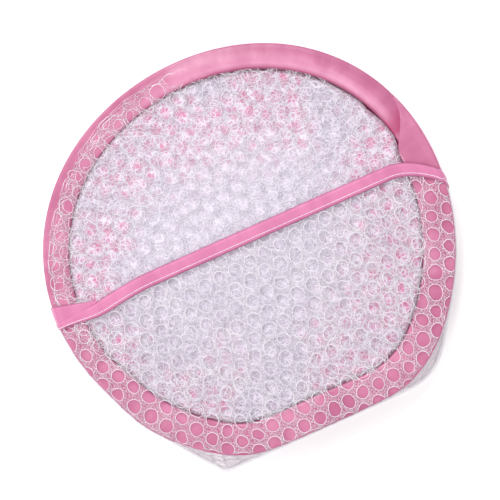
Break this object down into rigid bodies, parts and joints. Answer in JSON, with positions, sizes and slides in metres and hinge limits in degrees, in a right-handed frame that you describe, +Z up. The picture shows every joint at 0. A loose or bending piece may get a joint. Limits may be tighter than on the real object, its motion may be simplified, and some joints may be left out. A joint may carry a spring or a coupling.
{
  "type": "mesh laundry bag",
  "caption": "Pop-up mesh laundry bag with spring-wire side frames, twisted flat into a round disc and stowed in its own bound mesh pouch.",
  "frame": {"origin": "centre of the underside of the stowed bag, on the surface it lies on", "axes": "+Z up through the thickness of the disc, +X along the pouch's mouth, +Y out of the mouth"},
  "size_m": [0.2127, 0.2009, 0.0243],
  "materials": {
    "pouch_mesh": "open knitted mesh with hexagonal holes, soft sheen",
    "bag_mesh": "open knitted mesh with hexagonal holes, crumpled",
    "casing_pink": "smooth woven taffeta tape, satin",
    "binding_pink": "smooth woven bias binding, satin",
    "webbing_pink": "plain woven webbing",
    "thread_white": "polyester sewing thread",
    "spring_steel": "drawn spring steel wire",
    "sleeve_steel": "zinc-plated crimp sleeve"
  },
  "bodies": {
    "pouch": {"pouch_back": "pouch_mesh", "back_binding": "binding_pink", "pouch_seam": "pouch_mesh"},
    "pouch_front": {"pouch_front": "pouch_mesh", "front_binding": "binding_pink", "mouth_stitch": "thread_white"},
    "bag_base": {"frame_casing_1": "casing_pink", "spring_wire_1": "spring_steel", "wire_sleeve_1": "sleeve_steel", "mesh_panel_1": "bag_mesh", "carry_handle_1": "webbing_pink"},
    "coil_2": {"frame_casing_2": "casing_pink", "spring_wire_2": "spring_steel", "wire_sleeve_2": "sleeve_steel", "mesh_panel_2": "bag_mesh", "bottom_panel": "bag_mesh"},
    "coil_3": {"frame_casing_3": "casing_pink", "spring_wire_3": "spring_steel", "wire_sleeve_3": "sleeve_steel", "mesh_panel_3": "bag_mesh", "carry_handle_2": "webbing_pink"},
    "coil_4": {"frame_casing_4": "casing_pink", "spring_wire_4": "spring_steel", "wire_sleeve_4": "sleeve_steel", "mesh_panel_4": "bag_mesh"}
  },
  "joints": [
    {"name": "bag_slide", "type": "slide", "parent": "pouch", "child": "bag_base", "axis": [0, 1, 0], "range_m": [0, 0.15]},
    {"name": "leaf_2_turn", "type": "hinge", "parent": "bag_base", "child": "coil_2", "pos_m": [0, -0.1008, 0.0006], "axis": [1, 0, 0], "range_deg": [0, 5]},
    {"name": "leaf_3_turn", "type": "hinge", "parent": "bag_base", "child": "coil_3", "pos_m": [0, -0.1008, 0.0006], "axis": [1, 0, 0], "range_deg": [0, 10]},
    {"name": "leaf_4_turn", "type": "hinge", "parent": "bag_base", "child": "coil_4", "pos_m": [0, -0.1008, 0.0006], "axis": [1, 0, 0], "range_deg": [0, 15]},
    {"name": "front_lift", "type": "hinge", "parent": "pouch", "child": "pouch_front", "pos_m": [0, -0.1008, 0.0006], "axis": [1, 0, 0], "range_deg": [0, 20]}
  ],
  "couplings": [
    {"joint": "leaf_2_turn", "follows": "leaf_4_turn", "ratio": 0.33333},
    {"joint": "leaf_3_turn", "follows": "leaf_4_turn", "ratio": 0.66667},
    {"joint": "front_lift", "follows": "leaf_4_turn", "ratio": 1.3333}
  ]
}
